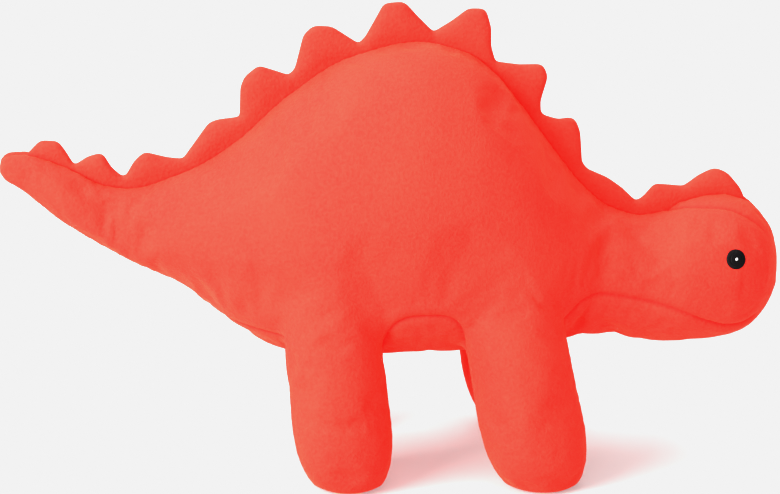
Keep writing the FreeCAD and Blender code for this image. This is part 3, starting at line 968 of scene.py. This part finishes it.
def make_eye(tree, hand, thread, white):
    """A raised satin-stitched disc with an outer ring, and a few short white stitches in its middle."""
    side = SIDES[hand]
    hit = tree.ray_cast(Vector((EYE_X, side * 80.0, EYE_Z)), Vector((0, -side, 0)))
    centre, out = hit[0], hit[1] * (1 if hit[1].y * side > 0 else -1)
    grid, faces = disc_grid(EYE_RADIUS, 30, 144)
    share, angle = grid[:, 2], grid[:, 3]
    dome = EYE_RAISE * np.sqrt(np.clip(1 - share ** 4, 0, 1)) * (1 - 0.18 * share ** 2)
    outer = ramp(share, 0.58, 0.64)
    radial = 0.085 * np.sin(angle * 36) * outer * (1 - ramp(share, 0.93, 1.0))
    rings = 0.06 * np.sin(share * 42.0) * (1 - outer) * ramp(share, 0.1, 0.2)
    step = -0.16 * np.exp(-((share - 0.61) / 0.035) ** 2)
    heights = dome + radial + rings + step - 0.35 * ramp(share, 0.985, 1.0)
    obj = make_object(f"eye_{hand}_embroidery", onto_skin(tree, centre, out, grid[:, :2], heights), faces)
    stitches = []
    for number, (shift, length) in enumerate(HIGHLIGHT_STITCHES):
        pill, pill_faces = disc_grid(STITCH_RADIUS, 6, 20)
        flat = pill[:, :2] * np.array([1.0, length / STITCH_RADIUS])
        flat = flat + np.array([shift, 0.08 * (number - 1)])
        lift = EYE_RAISE - 0.10 + 0.42 * np.sqrt(np.clip(1 - pill[:, 2] ** 2, 0, 1)) - 0.1 * pill[:, 2]
        stitches.append((onto_skin(tree, centre, out, flat, lift), pill_faces))
    dot = make_object(f"eye_highlight_{hand}_stitches", *joined(stitches))
    for piece, node, slot, material in ((obj, "eye_", "eye_thread", thread),
                                        (dot, "eye_highlight_", "highlight_thread", white)):
        piece.data.polygons.foreach_set("use_smooth", [True] * len(piece.data.polygons))
        piece.data.materials.append(material)
        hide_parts(node + hand)
        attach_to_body(piece, "head")


def make_label(material):
    """A folded satin ribbon that hangs from the seam under the rump."""
    middle = LABEL_Y + 0.15
    drops = LABEL_TOP - np.linspace(0.0, LABEL_DROP - LABEL_FOLD, LABEL_ROWS + 1)
    profile = [(middle + LABEL_GAP, z) for z in drops]
    for turn in np.linspace(0.0, math.pi, 10)[1:-1]:
        profile.append((middle + LABEL_GAP * math.cos(turn), drops[-1] - LABEL_FOLD * math.sin(turn)))
    profile += [(middle - LABEL_GAP, z) for z in drops[::-1]]
    columns = np.linspace(0, LABEL_WIDTH, 13)
    verts = []
    for y, z in profile:
        fall = (LABEL_TOP - z) / LABEL_DROP
        for x in columns:
            curl = 0.55 * fall * math.sin(math.pi * x / LABEL_WIDTH) + 0.5 * fall ** 2
            verts.append((LABEL_X + x, y + curl, z))
    count = len(columns)
    faces = [(r * count + c, r * count + c + 1, (r + 1) * count + c + 1, (r + 1) * count + c)
             for r in range(len(profile) - 1) for c in range(count - 1)]
    verts, faces = through_modifier("ribbon", np.array(verts), faces, "SOLIDIFY",
                                    thickness=0.16 * M, offset=0.0)
    obj = make_object("care_label_ribbon", verts, faces)
    obj.data.polygons.foreach_set("use_smooth", [True] * len(obj.data.polygons))
    obj.data.materials.append(material)
    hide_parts("care_label")
    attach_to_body(obj, "torso")


# ---- stage, light and camera --------------------------------------------------------------
# Area lights: name, place, size, power, colour, what they aim at.
LIGHTS = [
    ("key", (-1.6, -1.25, 1.05), 1.2, 72.0, (1.0, 0.985, 0.96), (0, 0, 0.12)),
    ("front", (-0.3, -2.2, 0.6), 1.4, 15.0, (1.0, 1.0, 1.0), (0, 0, 0.12)),
    ("top", (-0.3, 0.1, 2.4), 2.4, 34.0, (1.0, 1.0, 1.0), (0, 0, 0)),
    ("backdrop", (0.0, 1.6, 2.2), 2.4, 34.0, (1.0, 1.0, 1.0), (0, 2.2, 0)),
]
WORLD_LIGHT = 0.42
FLOOR_REACH = 9000.0
CAMERA_HEIGHT_ANGLE = math.radians(15.5)
CAMERA_SIDE_ANGLE = math.radians(-4.0)      # a little towards the tail
WHITE_LEVEL = 0.63                          # brightest tone, before the contrast look
CAMERA_ROLL = math.radians(1.07)
CAMERA_DISTANCE = 1.520                     # metres, as the target
CAMERA_LENS = 135.0
CAMERA_TARGET = Vector((-0.0005, 0.0, 0.1137))


def make_camera():
    """A long lens, a little above the toy and towards its tail."""
    data = bpy.data.cameras.new("camera")
    data.lens = CAMERA_LENS
    camera = bpy.data.objects.new("camera", data)
    scene.collection.objects.link(camera)
    level = math.cos(CAMERA_HEIGHT_ANGLE)
    back = Vector((level * math.sin(CAMERA_SIDE_ANGLE), -level * math.cos(CAMERA_SIDE_ANGLE),
                   math.sin(CAMERA_HEIGHT_ANGLE)))
    camera.location = CAMERA_TARGET + back * CAMERA_DISTANCE
    camera.rotation_euler = (-back).to_track_quat("-Z", "Y").to_euler()
    camera.rotation_euler.rotate_axis("Z", CAMERA_ROLL)
    scene.camera = camera


def make_light(name, place, size, power, colour, aim):
    """A square area light."""
    data = bpy.data.lights.new(name, "AREA")
    data.size = size
    data.energy = power
    data.color = colour
    light = bpy.data.objects.new(name, data)
    scene.collection.objects.link(light)
    light.location = place
    light.rotation_euler = (Vector(aim) - Vector(place)).to_track_quat("-Z", "Y").to_euler()


def make_stage():
    """A wide pale floor and soft studio light."""
    corners = [(x * FLOOR_REACH, y * FLOOR_REACH, 0.0) for x, y in ((-1, -1), (1, -1), (1, 1), (-1, 1))]
    floor = make_object("floor", corners, [(0, 1, 2, 3)])
    floor.data.materials.append(floor_material())
    for light in LIGHTS:
        make_light(*light)
    world = bpy.data.worlds.new("studio")
    world.use_nodes = True
    background = world.node_tree.nodes["Background"]
    background.inputs["Color"].default_value = (1.0, 1.0, 1.0, 1)
    background.inputs["Strength"].default_value = WORLD_LIGHT
    scene.world = world
    scene.view_settings.view_transform = "Standard"
    scene.view_settings.look = "High Contrast"
    scene.view_settings.use_curve_mapping = True
    tone = scene.view_settings.curve_mapping
    tone.extend = "HORIZONTAL"
    curve = tone.curves[3]
    curve.points[1].location = (1.0, WHITE_LEVEL)
    curve.points.new(WHITE_LEVEL, WHITE_LEVEL)
    for point in curve.points:
        point.handle_type = "VECTOR"
    tone.update()


make_camera()
make_stage()
coral = velour()
skin_verts, skin_tris = stuffed_skin()
skin_verts, skin_tris = cut_panels(skin_verts, skin_tris)
panel_of, piece_of = label_faces(skin_verts, skin_tris)
# the second value is painted shade for the seam grooves, from 0 to 1
skin_verts, skin_seam_shade = draw_in(skin_verts, skin_tris, panel_of)
skin_normals = vertex_normals(skin_verts, skin_tris)
for piece_name in np.unique(piece_of):
    piece_tris = skin_tris[piece_of == piece_name]
    skin_piece(str(piece_name), skin_verts, piece_tris, skin_normals, coral, skin_seam_shade)
make_crest(coral)
skin_tree = bvhtree.BVHTree.FromPolygons(skin_verts.tolist(), skin_tris.tolist())
black, white_thread = eye_thread(), highlight_thread()
for hand_name in SIDES:
    make_eye(skin_tree, hand_name, black, white_thread)
make_label(label_satin())
